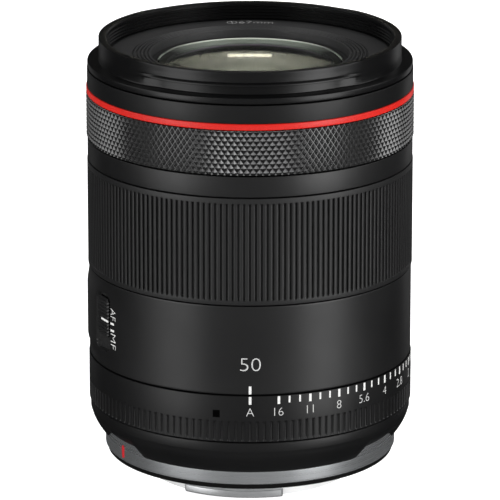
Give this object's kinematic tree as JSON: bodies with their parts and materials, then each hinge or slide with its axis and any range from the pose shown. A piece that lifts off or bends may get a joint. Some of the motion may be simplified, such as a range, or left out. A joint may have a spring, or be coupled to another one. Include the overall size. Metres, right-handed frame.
{
  "type": "prime camera lens",
  "caption": "Fast fixed-focal-length camera lens with knurled control ring, ribbed focus ring, aperture ring, focus-mode switch and bayonet mount.",
  "frame": {"origin": "on the optical axis at the rear end of the bayonet, which is the lowest face of the lens when it stands on its mount", "axes": "+Z along the optical axis towards the front of the lens, -Y towards the index mark, -X towards the focus-mode switch"},
  "size_m": [0.0766, 0.0764, 0.1048],
  "materials": {
    "barrel_paint": "light alloy with satin black paint of a very fine grain",
    "front_plate": "matt black moulded plate with fine rings",
    "red_enamel": "semi-gloss red enamel",
    "grip_rubber": "ribbed black rubber",
    "switch_plastic": "satin black plastic",
    "mount_metal": "turned satin steel",
    "steel": "plain turned steel",
    "seal_rubber": "matt black",
    "contact_gold": "gold-plated contacts",
    "cell_aluminium": "dark anodised",
    "inner_black": "matt black anodised",
    "circuit_board": "green board",
    "coil_copper": "copper winding",
    "white_paint": "engraved marks filled with matt white paint",
    "index_red": "engraved index mark filled with red paint",
    "coated_glass": "multi-coated optical glass"
  },
  "bodies": {
    "barrel": {"filter_ring": "barrel_paint", "front_barrel": "barrel_paint", "mid_band": "barrel_paint", "main_barrel": "barrel_paint", "switch_panel": "barrel_paint", "rear_skirt": "barrel_paint", "name_ring": "front_plate", "red_ring": "red_enamel", "contact_block": "switch_plastic", "rear_baffle": "switch_plastic", "bayonet_mount": "mount_metal", "magnet_yoke": "steel", "guide_rod_1": "steel", "guide_rod_2": "steel", "mount_screw_1": "steel", "mount_screw_2": "steel", "mount_screw_3": "steel", "mount_screw_4": "steel", "dust_seal": "seal_rubber", "contact_strip": "contact_gold", "rear_frame": "cell_aluminium", "inner_barrel": "cell_aluminium", "front_lens_cell": "inner_black", "middle_lens_cell": "inner_black", "rear_lens_cell": "inner_black", "iris_housing": "inner_black", "circuit_board": "circuit_board", "glass_group_01": "coated_glass", "glass_group_02": "coated_glass", "glass_group_03": "coated_glass", "glass_group_04": "coated_glass", "glass_group_05": "coated_glass", "glass_group_06": "coated_glass", "glass_group_09": "coated_glass", "glass_group_10": "coated_glass", "glass_group_11": "coated_glass"},
    "control_ring": {"control_ring": "barrel_paint"},
    "focus_ring": {"focus_ring": "barrel_paint", "focus_grip": "grip_rubber"},
    "aperture_ring": {"aperture_ring": "barrel_paint"},
    "focus_mode_knob": {"focus_mode_knob": "switch_plastic"},
    "function_button": {"function_button": "switch_plastic"},
    "iris_lock_knob": {"iris_lock_knob": "switch_plastic"},
    "iris_drive_ring": {"iris_drive_ring": "cell_aluminium"},
    "focus_group": {"focus_carriage": "cell_aluminium", "focus_coil": "coil_copper", "glass_group_07": "coated_glass", "glass_group_08": "coated_glass"},
    "iris_blade_01": {"iris_blade_01": "inner_black"},
    "iris_blade_02": {"iris_blade_02": "inner_black"},
    "iris_blade_03": {"iris_blade_03": "inner_black"},
    "iris_blade_04": {"iris_blade_04": "inner_black"},
    "iris_blade_05": {"iris_blade_05": "inner_black"},
    "iris_blade_06": {"iris_blade_06": "inner_black"},
    "iris_blade_07": {"iris_blade_07": "inner_black"},
    "iris_blade_08": {"iris_blade_08": "inner_black"},
    "iris_blade_09": {"iris_blade_09": "inner_black"},
    "iris_blade_10": {"iris_blade_10": "inner_black"},
    "iris_blade_11": {"iris_blade_11": "inner_black"}
  },
  "joints": [
    {"name": "control_ring_turn", "type": "hinge", "parent": "barrel", "child": "control_ring", "pos_m": [0, 0, 0.0866], "axis": [0, 0, 1], "continuous": true},
    {"name": "focus_ring_turn", "type": "hinge", "parent": "barrel", "child": "focus_ring", "pos_m": [0, 0, 0.06335], "axis": [0, 0, 1], "continuous": true},
    {"name": "aperture_ring_turn", "type": "hinge", "parent": "barrel", "child": "aperture_ring", "pos_m": [0, 0, 0.0234], "axis": [0, 0, 1], "range_deg": [-92, 0]},
    {"name": "focus_mode_slide", "type": "slide", "parent": "barrel", "child": "focus_mode_knob", "axis": [0, 0, -1], "range_m": [0, 0.00165]},
    {"name": "function_button_press", "type": "slide", "parent": "barrel", "child": "function_button", "axis": [0.9925, -0.1219, 0], "range_m": [0, 0.0005], "stiffness_N_per_m": 400},
    {"name": "iris_lock_slide", "type": "slide", "parent": "barrel", "child": "iris_lock_knob", "axis": [0, 0, -1], "range_m": [0, 0.002]},
    {"name": "iris_drive_turn", "type": "hinge", "parent": "barrel", "child": "iris_drive_ring", "pos_m": [0, 0, 0.0722], "axis": [0, 0, 1], "range_deg": [0, 38.5]},
    {"name": "focus_group_slide", "type": "slide", "parent": "barrel", "child": "focus_group", "axis": [0, 0, 1], "range_m": [0, 0.0045]},
    {"name": "iris_blade_01_swing", "type": "hinge", "parent": "barrel", "child": "iris_blade_01", "pos_m": [0, -0.0255, 0.0644], "axis": [0, 0, 1], "range_deg": [0, 38.5]},
    {"name": "iris_blade_02_swing", "type": "hinge", "parent": "barrel", "child": "iris_blade_02", "pos_m": [0.01379, -0.02145, 0.065], "axis": [0, 0, 1], "range_deg": [0, 38.5]},
    {"name": "iris_blade_03_swing", "type": "hinge", "parent": "barrel", "child": "iris_blade_03", "pos_m": [0.0232, -0.01059, 0.0656], "axis": [0, 0, 1], "range_deg": [0, 38.5]},
    {"name": "iris_blade_04_swing", "type": "hinge", "parent": "barrel", "child": "iris_blade_04", "pos_m": [0.02524, 0.00363, 0.0662], "axis": [0, 0, 1], "range_deg": [0, 38.5]},
    {"name": "iris_blade_05_swing", "type": "hinge", "parent": "barrel", "child": "iris_blade_05", "pos_m": [0.01927, 0.0167, 0.0668], "axis": [0, 0, 1], "range_deg": [0, 38.5]},
    {"name": "iris_blade_06_swing", "type": "hinge", "parent": "barrel", "child": "iris_blade_06", "pos_m": [0.00718, 0.02447, 0.0674], "axis": [0, 0, 1], "range_deg": [0, 38.5]},
    {"name": "iris_blade_07_swing", "type": "hinge", "parent": "barrel", "child": "iris_blade_07", "pos_m": [-0.00718, 0.02447, 0.068], "axis": [0, 0, 1], "range_deg": [0, 38.5]},
    {"name": "iris_blade_08_swing", "type": "hinge", "parent": "barrel", "child": "iris_blade_08", "pos_m": [-0.01927, 0.0167, 0.0686], "axis": [0, 0, 1], "range_deg": [0, 38.5]},
    {"name": "iris_blade_09_swing", "type": "hinge", "parent": "barrel", "child": "iris_blade_09", "pos_m": [-0.02524, 0.00363, 0.0692], "axis": [0, 0, 1], "range_deg": [0, 38.5]},
    {"name": "iris_blade_10_swing", "type": "hinge", "parent": "barrel", "child": "iris_blade_10", "pos_m": [-0.0232, -0.01059, 0.0698], "axis": [0, 0, 1], "range_deg": [0, 38.5]},
    {"name": "iris_blade_11_swing", "type": "hinge", "parent": "barrel", "child": "iris_blade_11", "pos_m": [-0.01379, -0.02145, 0.0704], "axis": [0, 0, 1], "range_deg": [0, 38.5]}
  ],
  "couplings": [
    {"joint": "iris_blade_01_swing", "follows": "iris_drive_turn", "ratio": 1},
    {"joint": "iris_blade_02_swing", "follows": "iris_drive_turn", "ratio": 1},
    {"joint": "iris_blade_03_swing", "follows": "iris_drive_turn", "ratio": 1},
    {"joint": "iris_blade_04_swing", "follows": "iris_drive_turn", "ratio": 1},
    {"joint": "iris_blade_05_swing", "follows": "iris_drive_turn", "ratio": 1},
    {"joint": "iris_blade_06_swing", "follows": "iris_drive_turn", "ratio": 1},
    {"joint": "iris_blade_07_swing", "follows": "iris_drive_turn", "ratio": 1},
    {"joint": "iris_blade_08_swing", "follows": "iris_drive_turn", "ratio": 1},
    {"joint": "iris_blade_09_swing", "follows": "iris_drive_turn", "ratio": 1},
    {"joint": "iris_blade_10_swing", "follows": "iris_drive_turn", "ratio": 1},
    {"joint": "iris_blade_11_swing", "follows": "iris_drive_turn", "ratio": 1}
  ]
}
